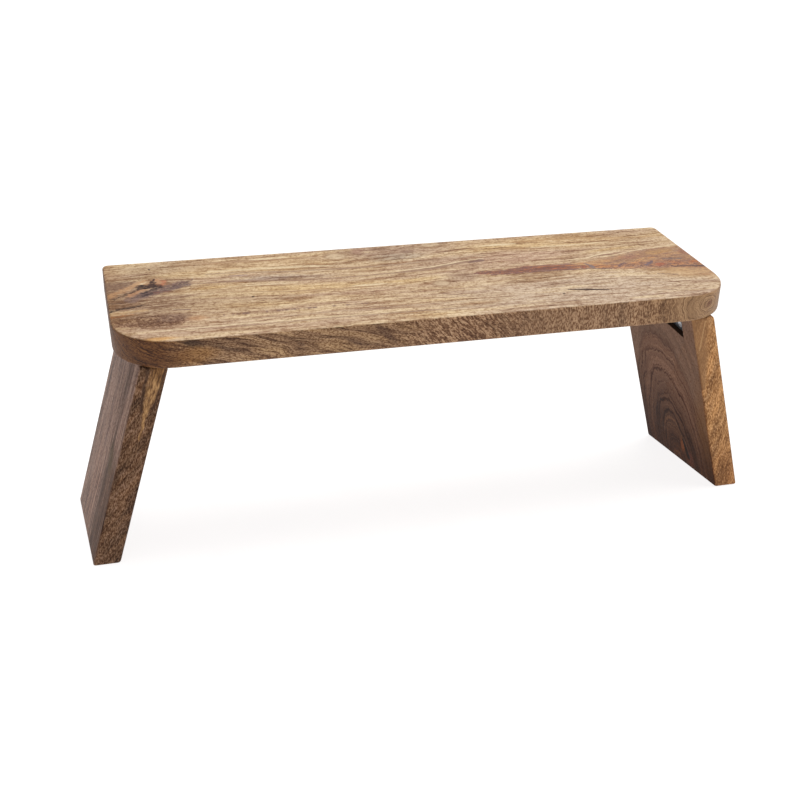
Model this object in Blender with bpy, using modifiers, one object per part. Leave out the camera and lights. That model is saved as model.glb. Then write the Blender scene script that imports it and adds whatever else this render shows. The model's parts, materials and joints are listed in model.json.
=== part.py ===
"""Folding meditation bench: a sloping seat board on two splayed board legs.

Each leg hangs on two steel butt hinges that lie in pockets cut into the leg's inner face. The leg's
top end butts against the underside of the seat when the bench stands, and its inner face lies flat
against the underside when the leg is folded inwards. Lengths are metres and angles are radians.

World frame: origin on the floor under the middle of the bench, +X along the seat, +Y from the low
rounded front edge to the high rear edge, +Z up.
Seat frame: origin on the underside at the middle of the front edge, +Y to the rear along the
underside, +Z square to it, tilted about X.
Leg frame: origin on the pins' axis at the middle of the leg's width, +Y along the pins, +Z up along
the leg, turned about Y by the splay.
Hinge frame: origin on the pin's axis at the middle of the hinge, +Y along the pin, the leaf
reaching towards -X with its back at +Z.
"""

from math import cos, pi, radians, sin, tan

import bmesh
import bpy
from mathutils import Euler, Matrix, Vector

# Seat board
SEAT_LENGTH = 0.462
SEAT_DEPTH = 0.150
SEAT_THICKNESS = 0.021
SEAT_FRONT_HEIGHT = 0.172
SEAT_TILT = radians(10.5)
SEAT_FRONT_CORNER_RADIUS = 0.041
SEAT_REAR_CORNER_RADIUS = 0.0045
SEAT_EDGE_RADIUS = 0.0020

# Leg boards
LEG_THICKNESS = 0.019
LEG_WIDTH = 0.136
LEG_SPLAY = radians(16.0)
LEG_FRONT_SETBACK = 0.005
LEG_END_SETBACK = 0.016
LEG_EDGE_RADIUS = 0.0020

# Butt hinges, two on each leg
HINGE_LENGTH = 0.040
HINGE_LEAF_WIDTH = 0.0225
HINGE_LEAF_THICKNESS = 0.0012
HINGE_PIN_RADIUS = 0.0010
HINGE_EDGE_MARGIN = 0.0198
KNUCKLE_COUNT = 5
CURL_ANGLE = radians(292.0)

# Countersunk screws, two in each leaf
SCREW_LENGTH = 0.012
SCREW_HEAD_RADIUS = 0.0028
SCREW_SHANK_RADIUS = 0.0013
SCREW_POINT_LENGTH = 0.0020
SCREW_POINT_RADIUS = 0.0003
SCREW_END_MARGIN = 0.0125
SCREW_FREE_EDGE_MARGIN = 0.0050

# Clearance between pieces that touch or turn past each other
GAP = 0.0003
# How far a cutter runs past the face that it opens
CUT_PAST = 0.0010
# Distance under which loose points are one point
WELD = 0.00001

# Facets of the round forms
CORNER_STEPS = 12
SMALL_CORNER_STEPS = 4
CURL_STEPS = 24
ROUND_STEPS = 20
EDGE_STEPS = 3

# Sizes that follow from the ones above
KNUCKLE_BORE_RADIUS = HINGE_PIN_RADIUS + GAP
KNUCKLE_RADIUS = KNUCKLE_BORE_RADIUS + HINGE_LEAF_THICKNESS
KNUCKLE_PITCH = HINGE_LENGTH / KNUCKLE_COUNT
LEAF_FACE = KNUCKLE_RADIUS - HINGE_LEAF_THICKNESS
AXIS_DEPTH = KNUCKLE_RADIUS + GAP
POCKET_WALL = KNUCKLE_RADIUS + GAP
POCKET_LEDGE = HINGE_LEAF_WIDTH + GAP
LEG_INNER_FACE = -KNUCKLE_RADIUS
LEG_OUTER_FACE = LEG_INNER_FACE + LEG_THICKNESS
LEG_MIDDLE = LEG_FRONT_SETBACK + LEG_WIDTH / 2
LEG_OUTER_AT_SEAT = SEAT_LENGTH / 2 - LEG_END_SETBACK
AXIS_OUT = (LEG_OUTER_AT_SEAT
            - (LEG_OUTER_FACE - AXIS_DEPTH * sin(LEG_SPLAY)) / cos(LEG_SPLAY))
HINGE_OFFSET = LEG_WIDTH / 2 - HINGE_EDGE_MARGIN - HINGE_LENGTH / 2
SCREW_OFFSET = HINGE_LENGTH / 2 - SCREW_END_MARGIN
SCREW_REACH = HINGE_LEAF_WIDTH - SCREW_FREE_EDGE_MARGIN
HEAD_DEPTH = SCREW_HEAD_RADIUS - SCREW_SHANK_RADIUS
SEAT_UNDERSIDE_FRONT_HEIGHT = SEAT_FRONT_HEIGHT - SEAT_THICKNESS * cos(SEAT_TILT)
REAR_FOOT = ((LEG_FRONT_SETBACK + LEG_WIDTH) / cos(SEAT_TILT)
             + SEAT_FRONT_HEIGHT * tan(SEAT_TILT))
FRONT_SHIFT = -REAR_FOOT / 2

WOOD_SEAT = (0.52, 0.36, 0.22)
WOOD_LEG = (0.36, 0.25, 0.17)
STEEL_LEAF = (0.42, 0.42, 0.43)
STEEL_PIN = (0.50, 0.50, 0.51)
STEEL_SCREW = (0.60, 0.60, 0.61)

SIDES = {"left": -1, "right": 1}
ENDS = {"front": -1, "rear": 1}


def clear_scene():
    """Remove what the file opened with."""
    for item in list(bpy.data.objects):
        bpy.data.objects.remove(item, do_unlink=True)


def add_collection(name):
    """A new collection in the scene."""
    group = bpy.data.collections.new(name)
    bpy.context.scene.collection.children.link(group)
    return group


def add_frame(name, group, parent, location, rotation):
    """An empty that carries a group of pieces."""
    frame = bpy.data.objects.new(name, None)
    frame.empty_display_size = 0.02
    group.objects.link(frame)
    frame.parent = parent
    frame.location = location
    frame.rotation_euler = rotation
    return frame


def add_piece(name, mesh, group, parent, placing=None):
    """A mesh object placed in its parent's frame."""
    piece = bpy.data.objects.new(name, mesh)
    group.objects.link(piece)
    piece.parent = parent
    if placing is not None:
        piece.matrix_local = placing
    return piece


def add_cutter(name, mesh, group, parent, placing=None):
    """A piece that only cuts others, so it shows as wires and is left out of the model."""
    cutter = add_piece(name, mesh, group, parent, placing)
    cutter.hide_render = True
    cutter.display_type = 'WIRE'
    return cutter


def finish(piece, colour, roughness, metallic):
    """Give a piece its own plain material."""
    material = bpy.data.materials.new(piece.name + "_material")
    material.use_nodes = True
    shader = material.node_tree.nodes["Principled BSDF"]
    shader.inputs["Base Color"].default_value = (*colour, 1.0)
    shader.inputs["Roughness"].default_value = roughness
    shader.inputs["Metallic"].default_value = metallic
    piece.data.materials.clear()
    piece.data.materials.append(material)


def cut(piece, cutter, name):
    """Subtract a cutter from a piece."""
    step = piece.modifiers.new(name, 'BOOLEAN')
    step.operation = 'DIFFERENCE'
    step.solver = 'EXACT'
    step.object = cutter


def ease_edges(piece, radius, angle):
    """Round the edges that are sharper than the angle."""
    step = piece.modifiers.new("eased_edges", 'BEVEL')
    step.width = radius
    step.segments = EDGE_STEPS
    step.limit_method = 'ANGLE'
    step.angle_limit = angle


def baked(piece, name):
    """The mesh of an object with its modifiers worked in, after which the object is removed."""
    bpy.context.view_layer.update()
    graph = bpy.context.evaluated_depsgraph_get()
    mesh = bpy.data.meshes.new_from_object(piece.evaluated_get(graph))
    mesh.name = name
    bpy.data.objects.remove(piece, do_unlink=True)
    return mesh


def box_mesh(name, low, high):
    """A box between two corners."""
    low = Vector(low)
    high = Vector(high)
    shape = bmesh.new()
    size = Matrix.Diagonal((*(high - low), 1.0))
    bmesh.ops.create_cube(shape, size=1.0, matrix=Matrix.Translation((low + high) / 2) @ size)
    mesh = bpy.data.meshes.new(name)
    shape.to_mesh(mesh)
    shape.free()
    return mesh


def joined_mesh(name, mesh, placings):
    """Copies of one closed mesh in one object, as separate bodies."""
    shape = bmesh.new()
    for placing in placings:
        copy = mesh.copy()
        copy.transform(placing)
        shape.from_mesh(copy)
        bpy.data.meshes.remove(copy)
    result = bpy.data.meshes.new(name)
    shape.to_mesh(result)
    shape.free()
    return result


def arc(centre, radius, start, sweep, steps):
    """Points along an arc in a plane, its ends included."""
    turns = [start + sweep * i / steps for i in range(steps + 1)]
    return [(centre[0] + radius * cos(turn), centre[1] + radius * sin(turn)) for turn in turns]


def outline_mesh(name, points, thickness):
    """A flat outline filled and given a thickness, half on each side of its own plane."""
    curve = bpy.data.curves.new(name, 'CURVE')
    curve.dimensions = '2D'
    curve.fill_mode = 'BOTH'
    curve.extrude = thickness / 2
    line = curve.splines.new('POLY')
    line.points.add(len(points) - 1)
    for point, (x, y) in zip(line.points, points):
        point.co = (x, y, 0.0, 1.0)
    line.use_cyclic_u = True
    holder = bpy.data.objects.new(name, curve)
    bpy.context.scene.collection.objects.link(holder)
    mesh = baked(holder, name)
    bpy.data.curves.remove(curve)
    shape = bmesh.new()
    shape.from_mesh(mesh)
    bmesh.ops.remove_doubles(shape, verts=shape.verts, dist=WELD)
    bmesh.ops.dissolve_limit(shape, angle_limit=radians(0.5), verts=shape.verts, edges=shape.edges)
    bmesh.ops.recalc_face_normals(shape, faces=shape.faces)
    shape.to_mesh(mesh)
    shape.free()
    return mesh


def turned_mesh(name, profile):
    """A profile of radius and height turned about Z, from the top down its outer side."""
    mesh = bpy.data.meshes.new(name + "_profile")
    points = [(radius, 0.0, height) for radius, height in profile]
    mesh.from_pydata(points, [(i, i + 1) for i in range(len(points) - 1)], [])
    holder = bpy.data.objects.new(name, mesh)
    bpy.context.scene.collection.objects.link(holder)
    turn = holder.modifiers.new("turned", 'SCREW')
    turn.axis = 'Z'
    turn.angle = 2 * pi
    turn.steps = ROUND_STEPS
    turn.render_steps = ROUND_STEPS
    turn.use_merge_vertices = True
    turn.merge_threshold = WELD
    result = baked(holder, name)
    bpy.data.meshes.remove(mesh)
    return result


def shade_round(mesh, angle=radians(35)):
    """Shade a mesh smooth but for its sharp edges."""
    mesh.shade_smooth()
    mesh.set_sharp_from_angle(angle=angle)


def seat_outline():
    """The seat seen from above: two large front corners and two small rear ones."""
    half = SEAT_LENGTH / 2
    big = SEAT_FRONT_CORNER_RADIUS
    small = SEAT_REAR_CORNER_RADIUS
    points = arc((-half + big, big), big, pi, pi / 2, CORNER_STEPS)
    points += arc((half - big, big), big, -pi / 2, pi / 2, CORNER_STEPS)
    points += arc((half - small, SEAT_DEPTH - small), small, 0.0, pi / 2, SMALL_CORNER_STEPS)
    points += arc((-half + small, SEAT_DEPTH - small), small, pi / 2, pi / 2, SMALL_CORNER_STEPS)
    return points


def leg_profile(side):
    """The leg seen along its pins, before the foot is cut.

    The corner beside the pins is an arc about their axis, so that it turns past the seat.
    """
    top_at_outer_face = (KNUCKLE_RADIUS - LEG_OUTER_FACE * sin(LEG_SPLAY)) / cos(LEG_SPLAY)
    below_floor = -(SEAT_FRONT_HEIGHT + SEAT_DEPTH) / cos(LEG_SPLAY)
    points = [(LEG_INNER_FACE, below_floor), (LEG_OUTER_FACE, below_floor)]
    points += [(LEG_OUTER_FACE, top_at_outer_face)]
    points += arc((0.0, 0.0), KNUCKLE_RADIUS, pi / 2 - LEG_SPLAY, pi / 2 + LEG_SPLAY, CORNER_STEPS)
    return [(side * x, z) for x, z in points]


def leg_mesh(side, name, frame):
    """A leg board in its own frame, with its foot cut level with the floor."""
    mesh = outline_mesh(name, leg_profile(side), LEG_WIDTH)
    mesh.transform(Matrix.Rotation(pi / 2, 4, 'X'))
    bpy.context.view_layer.update()
    to_leg = frame.matrix_world.inverted()
    floor_point = to_leg @ Vector((0.0, 0.0, 0.0))
    floor_up = to_leg.to_3x3() @ Vector((0.0, 0.0, 1.0))
    shape = bmesh.new()
    shape.from_mesh(mesh)
    parts = shape.verts[:] + shape.edges[:] + shape.faces[:]
    bmesh.ops.bisect_plane(shape, geom=parts, plane_co=floor_point, plane_no=floor_up,
                           clear_inner=True)
    open_edges = [edge for edge in shape.edges if edge.is_boundary]
    bmesh.ops.contextual_create(shape, geom=open_edges)
    bmesh.ops.recalc_face_normals(shape, faces=shape.faces)
    shape.to_mesh(mesh)
    shape.free()
    return mesh


def leaf_strip_mesh():
    """A hinge leaf's middle surface: a flat plate that curls round the pin."""
    middle = KNUCKLE_RADIUS - HINGE_LEAF_THICKNESS / 2
    path = [(-HINGE_LEAF_WIDTH, middle)]
    path += arc((0.0, 0.0), middle, pi / 2, -CURL_ANGLE, CURL_STEPS)
    shape = bmesh.new()
    rows = []
    for x, z in path:
        rows.append([shape.verts.new((x, y, z)) for y in (-HINGE_LENGTH / 2, HINGE_LENGTH / 2)])
    for row, following in zip(rows, rows[1:]):
        shape.faces.new((row[0], following[0], following[1], row[1]))
    mesh = bpy.data.meshes.new("leaf_strip")
    shape.to_mesh(mesh)
    shape.free()
    return mesh


def screw_profile(clearance):
    """A countersunk screw with its head's face at height 0, or the hole that clears it."""
    head = SCREW_HEAD_RADIUS + clearance
    shank = SCREW_SHANK_RADIUS + clearance
    point = SCREW_POINT_RADIUS + clearance
    point_start = -(SCREW_LENGTH - SCREW_POINT_LENGTH)
    tip = -SCREW_LENGTH - clearance
    top = [(0.0, 0.0), (head, 0.0)]
    if clearance > 0:
        top = [(0.0, CUT_PAST), (head, CUT_PAST), (head, 0.0)]
    return top + [(shank, -HEAD_DEPTH), (shank, point_start), (point, tip), (0.0, tip)]


def screw_placings():
    """Where a leaf's screws sit in the hinge frame, driven towards the leaf's back."""
    driven = Euler((pi, 0.0, 0.0)).to_matrix().to_4x4()
    return [Matrix.Translation((-SCREW_REACH, end * SCREW_OFFSET, LEAF_FACE)) @ driven
            for end in ENDS.values()]


def leaf_mesh(name, own_knuckles, holes):
    """A hinge leaf that keeps some of the knuckles and is cut back round the others."""
    group = bpy.context.scene.collection
    leaf = add_piece(name, leaf_strip_mesh(), group, None)
    wall = leaf.modifiers.new("plate", 'SOLIDIFY')
    wall.thickness = HINGE_LEAF_THICKNESS
    wall.offset = 0.0
    wall.use_even_offset = True
    reach = KNUCKLE_RADIUS + CUT_PAST
    cutters = []
    for index in range(KNUCKLE_COUNT):
        if index in own_knuckles:
            continue
        start = -HINGE_LENGTH / 2 + index * KNUCKLE_PITCH
        stop = start + KNUCKLE_PITCH
        start -= CUT_PAST if index == 0 else GAP / 2
        stop += CUT_PAST if index == KNUCKLE_COUNT - 1 else GAP / 2
        notch = box_mesh("notch", (-KNUCKLE_RADIUS - GAP, start, -reach), (reach, stop, reach))
        cutters.append(add_cutter("notch_%d" % index, notch, group, None))
        cut(leaf, cutters[-1], "notch_%d" % index)
    cutters.append(add_cutter("leaf_holes", holes, group, None))
    cut(leaf, cutters[-1], "screw_holes")
    mesh = baked(leaf, name)
    for cutter in cutters:
        bpy.data.objects.remove(cutter, do_unlink=True)
    shade_round(mesh)
    return mesh


def seat_leaf_placing(side, end):
    """The hinge frame in the seat frame: the leaf lies on the underside, towards the middle."""
    place = (side * AXIS_OUT, LEG_MIDDLE + end * HINGE_OFFSET, -AXIS_DEPTH)
    turn = 0.0 if side > 0 else pi
    return Matrix.Translation(place) @ Matrix.Rotation(turn, 4, 'Z')


def leg_leaf_placing(side, end):
    """The hinge frame in the leg frame: the leaf hangs down the leg, its back to the wood."""
    about_x = pi if side > 0 else 0.0
    turn = Euler((about_x, -pi / 2, 0.0)).to_matrix().to_4x4()
    return Matrix.Translation((0.0, end * HINGE_OFFSET, 0.0)) @ turn


def pocket_mesh(side, end):
    """The pocket that a hinge folds away into, open at the leg's inner face and top end."""
    across = sorted((side * (LEG_INNER_FACE - CUT_PAST), side * POCKET_WALL))
    middle = end * HINGE_OFFSET
    half = HINGE_LENGTH / 2 + GAP
    low = (across[0], middle - half, -POCKET_LEDGE)
    high = (across[1], middle + half, KNUCKLE_RADIUS + CUT_PAST)
    return box_mesh("pocket", low, high)


def build_seat(model, cutters, frame, screw_hole):
    """The seat board with the pilot holes of its hinge screws."""
    mesh = outline_mesh("seat_board", seat_outline(), SEAT_THICKNESS)
    mesh.transform(Matrix.Translation((0.0, 0.0, SEAT_THICKNESS / 2)))
    board = add_piece("seat_board", mesh, model, frame)
    ease_edges(board, SEAT_EDGE_RADIUS, radians(60))
    placings = [seat_leaf_placing(side, end) @ screw
                for side in SIDES.values() for end in ENDS.values() for screw in screw_placings()]
    holes = joined_mesh("seat_pilot_holes", screw_hole, placings)
    cut(board, add_cutter("seat_pilot_holes", holes, cutters, frame), "pilot_holes")
    shade_round(mesh)
    finish(board, WOOD_SEAT, 0.55, 0.0)


def build_leg(side_name, side, model, cutters, frame, screw_hole):
    """A leg board with its hinge pockets and pilot holes."""
    name = side_name + "_leg_board"
    mesh = leg_mesh(side, name, frame)
    board = add_piece(name, mesh, model, frame)
    ease_edges(board, LEG_EDGE_RADIUS, radians(30))
    for end_name, end in ENDS.items():
        pocket_name = "%s_%s_pocket" % (side_name, end_name)
        pocket = add_cutter(pocket_name, pocket_mesh(side, end), cutters, frame)
        cut(board, pocket, pocket_name)
    placings = [leg_leaf_placing(side, end) @ screw
                for end in ENDS.values() for screw in screw_placings()]
    holes_name = side_name + "_leg_pilot_holes"
    holes = joined_mesh(holes_name, screw_hole, placings)
    cut(board, add_cutter(holes_name, holes, cutters, frame), "pilot_holes")
    shade_round(mesh)
    finish(board, WOOD_LEG, 0.6, 0.0)


def build_hinge(prefix, side, end, model, seat_frame, leg_frame, meshes):
    """One butt hinge: two leaves, the pin and the screws of each leaf."""
    on_seat = seat_leaf_placing(side, end)
    on_leg = leg_leaf_placing(side, end)
    pieces = [
        ("hinge_seat_leaf", "seat_leaf", seat_frame, on_seat, STEEL_LEAF, 0.42),
        ("hinge_leg_leaf", "leg_leaf", leg_frame, on_leg, STEEL_LEAF, 0.42),
        ("hinge_pin", "pin", seat_frame, on_seat, STEEL_PIN, 0.35),
    ]
    for end_name, screw in zip(ENDS, screw_placings()):
        seat_name = "seat_screw_" + end_name
        leg_name = "leg_screw_" + end_name
        pieces.append((seat_name, "screw", seat_frame, on_seat @ screw, STEEL_SCREW, 0.30))
        pieces.append((leg_name, "screw", leg_frame, on_leg @ screw, STEEL_SCREW, 0.30))
    for name, kind, frame, placing, colour, roughness in pieces:
        piece = add_piece("%s_%s" % (prefix, name), meshes[kind].copy(), model, frame, placing)
        finish(piece, colour, roughness, 1.0)


def hinge_meshes(screw_hole):
    """The shapes that all four hinges share."""
    screw = turned_mesh("screw", screw_profile(0.0))
    holes = joined_mesh("leaf_holes", screw_hole, screw_placings())
    pin_half = HINGE_LENGTH / 2
    pin = turned_mesh("pin", [(0.0, pin_half), (HINGE_PIN_RADIUS, pin_half),
                              (HINGE_PIN_RADIUS, -pin_half), (0.0, -pin_half)])
    pin.transform(Matrix.Rotation(pi / 2, 4, 'X'))
    shade_round(screw)
    shade_round(pin)
    outer = range(0, KNUCKLE_COUNT, 2)
    inner = range(1, KNUCKLE_COUNT, 2)
    return {
        "seat_leaf": leaf_mesh("seat_leaf", outer, holes),
        "leg_leaf": leaf_mesh("leg_leaf", inner, holes),
        "pin": pin,
        "screw": screw,
    }


def main():
    clear_scene()
    model = add_collection("meditation_bench")
    cutters = add_collection("cutters")
    seat_place = (0.0, FRONT_SHIFT + SEAT_THICKNESS * sin(SEAT_TILT), SEAT_UNDERSIDE_FRONT_HEIGHT)
    seat_frame = add_frame("seat_frame", model, None, seat_place, (SEAT_TILT, 0.0, 0.0))
    screw_hole = turned_mesh("screw_hole", screw_profile(GAP))
    meshes = hinge_meshes(screw_hole)
    build_seat(model, cutters, seat_frame, screw_hole)
    for side_name, side in SIDES.items():
        axis_place = (side * AXIS_OUT, LEG_MIDDLE, -AXIS_DEPTH)
        leg_frame = add_frame(side_name + "_leg_frame", model, seat_frame, axis_place,
                              (0.0, -side * LEG_SPLAY, 0.0))
        build_leg(side_name, side, model, cutters, leg_frame, screw_hole)
        for end_name, end in ENDS.items():
            prefix = "%s_%s" % (side_name, end_name)
            build_hinge(prefix, side, end, model, seat_frame, leg_frame, meshes)


main()
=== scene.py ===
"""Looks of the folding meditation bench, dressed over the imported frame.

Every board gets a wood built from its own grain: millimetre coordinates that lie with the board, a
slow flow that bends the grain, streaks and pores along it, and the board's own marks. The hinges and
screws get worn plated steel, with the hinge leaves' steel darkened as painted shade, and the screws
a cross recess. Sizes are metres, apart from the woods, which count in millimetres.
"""

import json
import math

import bmesh
import bpy
from mathutils import Matrix, Vector


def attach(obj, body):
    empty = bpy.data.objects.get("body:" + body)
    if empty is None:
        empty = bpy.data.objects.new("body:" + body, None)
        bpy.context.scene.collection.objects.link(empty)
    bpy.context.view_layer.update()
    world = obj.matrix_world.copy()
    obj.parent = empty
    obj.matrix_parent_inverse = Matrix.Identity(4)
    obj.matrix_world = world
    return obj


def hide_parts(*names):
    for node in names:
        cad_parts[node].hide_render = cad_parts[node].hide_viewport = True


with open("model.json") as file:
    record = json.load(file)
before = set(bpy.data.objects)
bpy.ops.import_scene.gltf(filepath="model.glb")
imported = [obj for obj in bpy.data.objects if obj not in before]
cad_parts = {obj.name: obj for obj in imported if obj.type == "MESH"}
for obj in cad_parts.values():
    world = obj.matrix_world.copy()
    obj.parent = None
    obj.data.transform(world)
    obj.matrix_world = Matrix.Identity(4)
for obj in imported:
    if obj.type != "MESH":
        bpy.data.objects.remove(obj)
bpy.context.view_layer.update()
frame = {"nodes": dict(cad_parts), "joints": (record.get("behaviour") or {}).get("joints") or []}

SIDES = {"left": -1, "right": 1}
ENDS = ("front", "rear")
MM = 1000.0

# Camera, from a perspective solve of the bench's edges in the 800 x 800 photograph
PHOTO_SIZE = 800.0
CAMERA_PLACE = Vector((-0.2458, -0.8906, 0.3718))
CAMERA_YAW = math.radians(-14.632)
CAMERA_PITCH = math.radians(17.234)
CAMERA_ROLL = math.radians(-1.410)
CAMERA_FOCAL_PIXELS = 1218.6
SENSOR_MM = 36.0

# How brightly a white face would show in each direction, as red, green and blue. A coat uses it to
# turn a seen tint into the wood's own colour
TOP_LIGHT = (1.28, 1.20, 1.12)
FRONT_LIGHT = (0.86, 0.86, 0.86)
INNER_LIGHT = (0.80, 0.88, 0.98)
OUTER_LIGHT = (0.89, 1.00, 1.09)

# The oiled wood reflects less than bare varnish would, and the legs less than the seat
SEAT_SHEEN = 0.22
LEG_SHEEN = 0.10

# Hinge pockets in a leg, in its board millimetres. The wood inside them is darkened as painted shade
POCKET_DEEP = 5.6
POCKET_LEDGE = 23.1
POCKET_MIDDLE = 28.2
POCKET_HALF = 20.6

# Cross recess of a screw head: reach and half width of its arms at the mouth and at the bottom
RECESS_ARM = 0.00160
RECESS_HALF = 0.00042
RECESS_ARM_LOW = 0.00075
RECESS_HALF_LOW = 0.00026
RECESS_DEEP = 0.00120

# Depth of the woods' and the steels' relief
WOOD_RELIEF = 0.00015
STEEL_RELIEF = 0.00002

# Points closer than this are one, faces flatter than this are joined, and edges sharper than this
# stay sharp
SAME_POINT = 0.000005
FLAT_ANGLE = math.radians(0.3)
SHARP_ANGLE = math.radians(40)

# A leg edge's palest fibres are its light colour times this
PALE_GAIN = (1.15, 1.21, 1.36)

# A board's edge turns into its face between these millimetres in from the face
EDGE_TO_FACE = (0.9, 0.2)

# Radians that each screw is turned further than the one before, and a leg's screw further than the
# seat's
SCREW_TURN_STEP = 1.3
LEG_SCREW_TURN = 0.7

# Radius and height of the floor's rings: it stays inside a view's reach and curves up at its rim
FLOOR_RINGS = ((2.0, 0.0), (15.0, 0.0), (19.0, 0.4), (21.5, 1.5), (23.0, 4.6))
FLOOR_SIDES = 64
FLOOR_GLOW = 0.90
ROOM_GLOW = 0.10
SUN_ENERGY = 4.3
SUN_SIZE_DEGREES = 60.0
SUN_WAY = (-0.28, 0.02, -1.0)


class Field:
    """One value in a node tree: a socket times a scale, plus an offset.

    Sums and products with plain numbers only change the scale and offset, and need no nodes."""

    def __init__(self, graph, socket, scale=1.0, offset=0.0):
        self.graph = graph
        self.socket = socket
        self.scale = scale
        self.offset = offset

    def __add__(self, other):
        if not isinstance(other, Field):
            return Field(self.graph, self.socket, self.scale, self.offset + other)
        ratio = other.scale / self.scale
        total = self.graph.node_math('MULTIPLY_ADD', other.socket, ratio, self.socket)
        return Field(self.graph, total, self.scale, self.offset + other.offset)

    def __sub__(self, other):
        return self + (-other)

    def __rsub__(self, other):
        return -self + other

    def __mul__(self, other):
        if isinstance(other, Field):
            return self.graph.math('MULTIPLY', self, other)
        return Field(self.graph, self.socket, self.scale * other, self.offset * other)

    def __truediv__(self, other):
        if isinstance(other, Field):
            return self.graph.math('DIVIDE', self, other)
        return self * (1.0 / other)

    def __neg__(self):
        return self * -1.0

    def __abs__(self):
        return self.graph.math('ABSOLUTE', self)

    def settled(self):
        """The same value with its scale and offset worked out by a node."""
        if self.scale == 1.0 and self.offset == 0.0:
            return self
        done = self.graph.node_math('MULTIPLY_ADD', self.socket, self.scale, self.offset)
        return Field(self.graph, done)


class Graph:
    """Builds the node tree of one material."""

    def __init__(self, name):
        self.material = bpy.data.materials.new(name)
        self.material.use_nodes = True
        self.tree = self.material.node_tree
        self.shader = self.tree.nodes["Principled BSDF"]
        self.points = {}

    def feed(self, socket, value):
        if isinstance(value, bpy.types.NodeSocket):
            self.tree.links.new(value, socket)
        elif isinstance(value, tuple) and len(value) == 3 and len(socket.default_value) == 4:
            socket.default_value = (*value, 1.0)
        else:
            socket.default_value = value

    def ready(self, value):
        """A plain number, colour or socket. Made before the node that needs it: a node that comes
        before its inputs keeps all after it waiting, and the material runs out of room."""
        return value.settled().socket if isinstance(value, Field) else value

    def add(self, kind, settings=None, **inputs):
        inputs = {key: self.ready(value) for key, value in inputs.items()}
        node = self.tree.nodes.new(kind)
        for key, value in (settings or {}).items():
            setattr(node, key, value)
        for key, value in inputs.items():
            self.feed(node.inputs[key], value)
        return node

    def node_math(self, operation, *values):
        values = [self.ready(value) for value in values]
        node = self.add('ShaderNodeMath', {"operation": operation})
        for socket, value in zip(node.inputs, values):
            self.feed(socket, value)
        return node.outputs[0]

    def math(self, operation, *values):
        return Field(self, self.node_math(operation, *values))

    def vector_math(self, operation, *values):
        node = self.add('ShaderNodeVectorMath', {"operation": operation})
        for socket, value in zip(node.inputs, values):
            self.feed(socket, value)
        return node

    def pair(self, x, y):
        """Two values as one vector, made once."""
        x, y = x.settled(), y.settled()
        key = (x.socket.node.name, x.socket.identifier, y.socket.node.name, y.socket.identifier)
        if key not in self.points:
            self.points[key] = self.add('ShaderNodeCombineXYZ', X=x, Y=y).outputs[0]
        return self.points[key]

    def noise(self, x, y, z, shift=0.0, detail=2.0, roughness=0.6):
        """Smooth noise of about one bump to a unit, from 0 to 1 and mostly near 0.5.

        Board coordinates go in through a mapping of the board's point, and one bent coordinate
        through the fourth axis, which keeps a large material small enough to run."""
        parts = [x + shift, y + shift * 1.7, z + shift * 0.6]
        slots = {}
        bent = []
        for part in parts:
            own = isinstance(part, Field) and part.socket.node == self.board
            axis = list(self.board.outputs).index(part.socket) if own else None
            if own and axis not in slots:
                slots[axis] = (part.scale, part.offset)
            elif isinstance(part, Field):
                bent.append(part)
        for part in parts:
            if not isinstance(part, Field):
                slots[next(i for i in range(3) if i not in slots)] = (0.0, part)
        settings = {"noise_dimensions": '4D' if len(bent) == 1 else '3D'}
        if len(bent) > 1:
            place = self.add('ShaderNodeCombineXYZ', X=parts[0], Y=parts[1], Z=parts[2]).outputs[0]
        else:
            node = self.add('ShaderNodeMapping', {"vector_type": 'POINT'}, Vector=self.base)
            node.inputs["Location"].default_value = [slots.get(i, (0.0, 0.0))[1] for i in range(3)]
            node.inputs["Scale"].default_value = [slots.get(i, (0.0, 0.0))[0] for i in range(3)]
            place = node.outputs[0]
        fourth = {"W": bent[0]} if len(bent) == 1 else {}
        node = self.add('ShaderNodeTexNoise', settings, Vector=place, Scale=1.0, Detail=detail,
                        Roughness=roughness, **fourth)
        return Field(self, node.outputs["Fac"])

    def roughen(self, far, x, y, grit_x, grit_y, ragged, shift):
        """A distance made uneven by noise of the same mean."""
        if not ragged:
            return far
        return far + (self.noise(x / grit_x, y / grit_y, 0.0, shift, 3.0) - 0.5) * (2 * ragged)

    def step(self, value, low, high):
        """0 below low and 1 above high, or the other way round if low is above high."""
        low = (low - value.offset) / value.scale
        high = (high - value.offset) / value.scale
        node = self.add('ShaderNodeMapRange', {"interpolation_type": 'SMOOTHSTEP'},
                        Value=value.socket)
        ends = (low, high, 0.0, 1.0) if low <= high else (high, low, 1.0, 0.0)
        for key, end in zip(("From Min", "From Max", "To Min", "To Max"), ends):
            if node.inputs[key].default_value != end:
                node.inputs[key].default_value = end
        return Field(self, node.outputs["Result"])

    def ramp(self, value, stops):
        """Colour along a value, from (place, colour) stops."""
        node = self.add('ShaderNodeValToRGB', Fac=value)
        line = node.color_ramp
        while len(line.elements) < len(stops):
            line.elements.new(0.5)
        for element, (place, colour) in zip(line.elements, stops):
            element.position = place
            element.color = (*colour, 1.0)
        return Field(self, node.outputs["Color"])

    def mix(self, amount, first, second, kind='MIX'):
        """Second over first."""
        amount, first, second = [self.ready(value) for value in (amount, first, second)]
        node = self.add('ShaderNodeMix', {"data_type": 'RGBA', "blend_type": kind})
        self.feed(node.inputs[0], amount)
        self.feed(node.inputs[6], first)
        self.feed(node.inputs[7], second)
        return Field(self, node.outputs[2])

    def dim(self, colour, amount, tint):
        """Multiply a colour towards a tint."""
        if isinstance(amount, Field) and amount.offset == 0.0:
            tint = tuple(1.0 - amount.scale * (1.0 - part) for part in tint)
            amount = Field(self, amount.socket)
        return self.mix(amount, colour, tint, 'MULTIPLY')

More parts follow.
